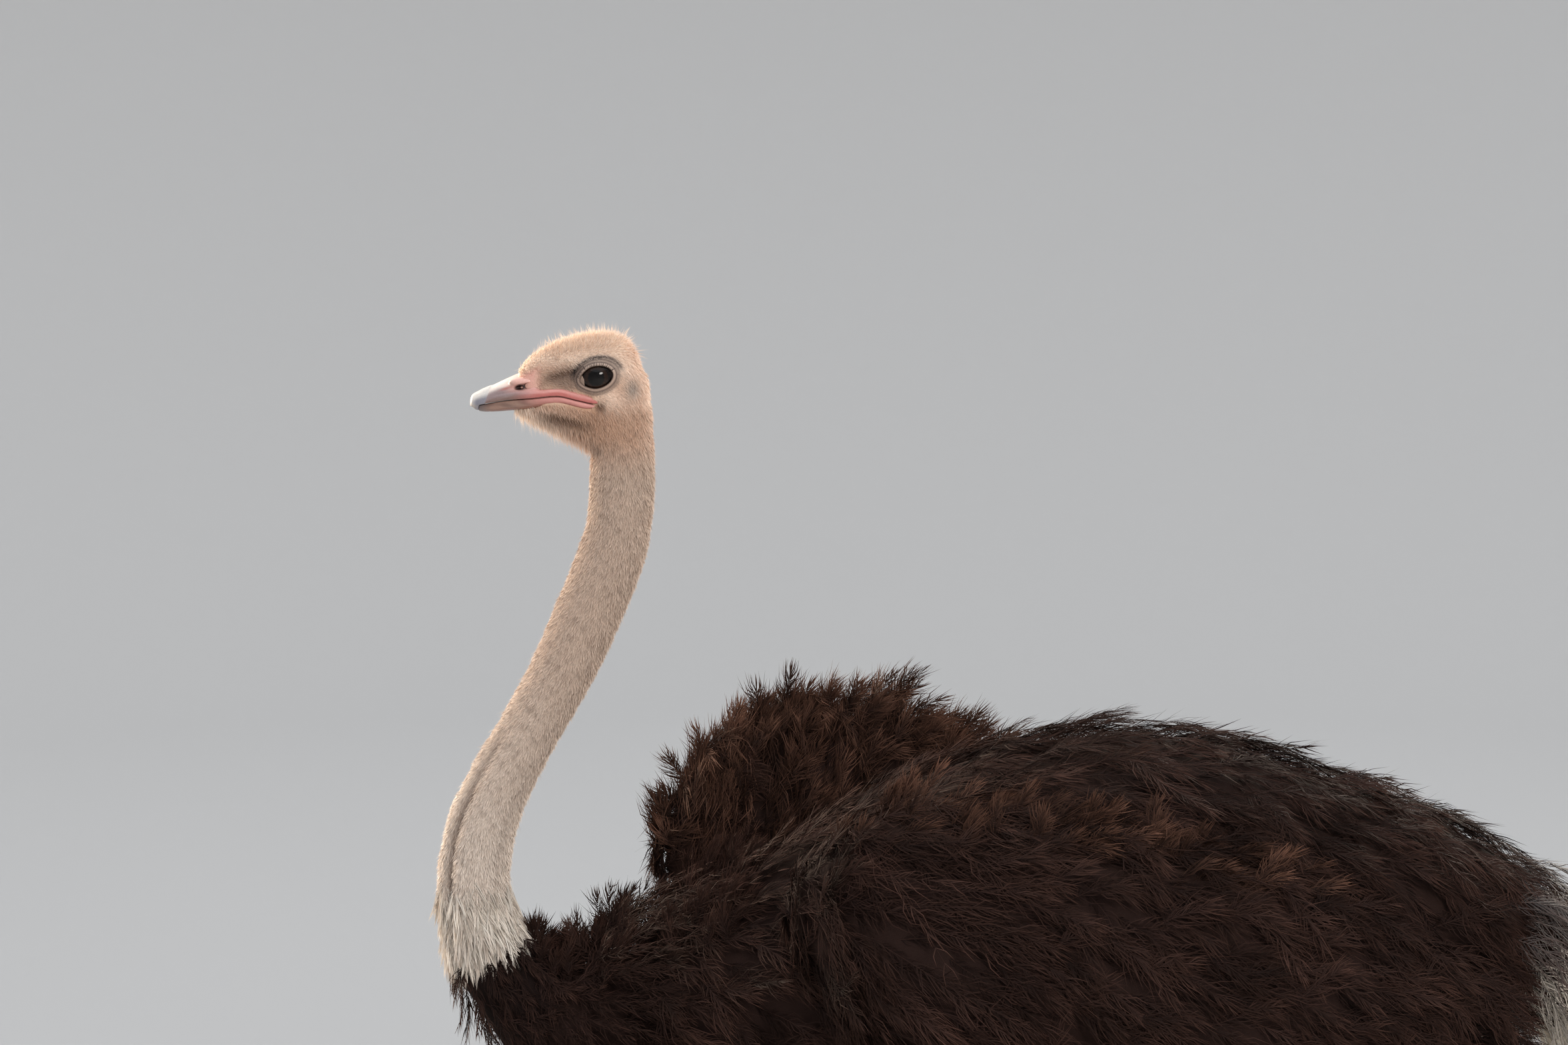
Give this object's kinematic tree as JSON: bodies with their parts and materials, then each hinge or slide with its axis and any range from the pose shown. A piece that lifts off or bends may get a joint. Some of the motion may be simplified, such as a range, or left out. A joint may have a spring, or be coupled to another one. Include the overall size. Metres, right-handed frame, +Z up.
{
  "type": "ostrich",
  "caption": "Standing male ostrich with a relaxed S-shaped neck, black plumage, white plumes and one wing slightly raised, as a life-size still model.",
  "frame": {"origin": "on the ground, under the middle of the bird's box", "axes": "+Z up, -X the way the bird faces, -Y its left side"},
  "size_m": [1.5782, 0.7114, 1.7906],
  "materials": {
    "down": "short cream and buff down, matt",
    "collar": "cream-white hanging locks, matt",
    "trunk": "loose brown-black feathers, matt with a slight sheen",
    "wing": "loose brown-black feathers with brown tips, matt",
    "tail": "soiled white and brown plumes, matt",
    "white_plumes": "white loose plumes, matt",
    "bill": "horn, blue-grey at the nail and salmon-pink along the gape, satin",
    "eye": "wet and glossy, dark brown",
    "bare_skin": "bare grey-brown skin with scutes on the front of the legs, satin",
    "claw": "dark horn, satin"
  },
  "bodies": {
    "root": {"head": "down", "eye_left": "eye", "eye_right": "eye", "bill_upper": "bill", "bill_lower": "bill", "neck_upper": "down", "neck_middle": "down", "neck_lower": "down", "neck_collar": "collar", "neck_base": "trunk", "breast": "trunk", "back_and_belly": "trunk", "rump": "trunk", "tail": "tail", "wing_left_wrist": "wing", "wing_left_coverts": "wing", "wing_left_plumes": "white_plumes", "wing_right_wrist": "wing", "wing_right_coverts": "wing", "wing_right_plumes": "white_plumes", "thigh_left": "bare_skin", "shank_left": "bare_skin", "hock_left": "bare_skin", "tarsus_left": "bare_skin", "toe_big_left": "bare_skin", "toe_small_left": "bare_skin", "claw_big_left": "claw", "claw_small_left": "claw", "thigh_right": "bare_skin", "shank_right": "bare_skin", "hock_right": "bare_skin", "tarsus_right": "bare_skin", "toe_big_right": "bare_skin", "toe_small_right": "bare_skin", "claw_big_right": "claw", "claw_small_right": "claw"}
  },
  "joints": []
}
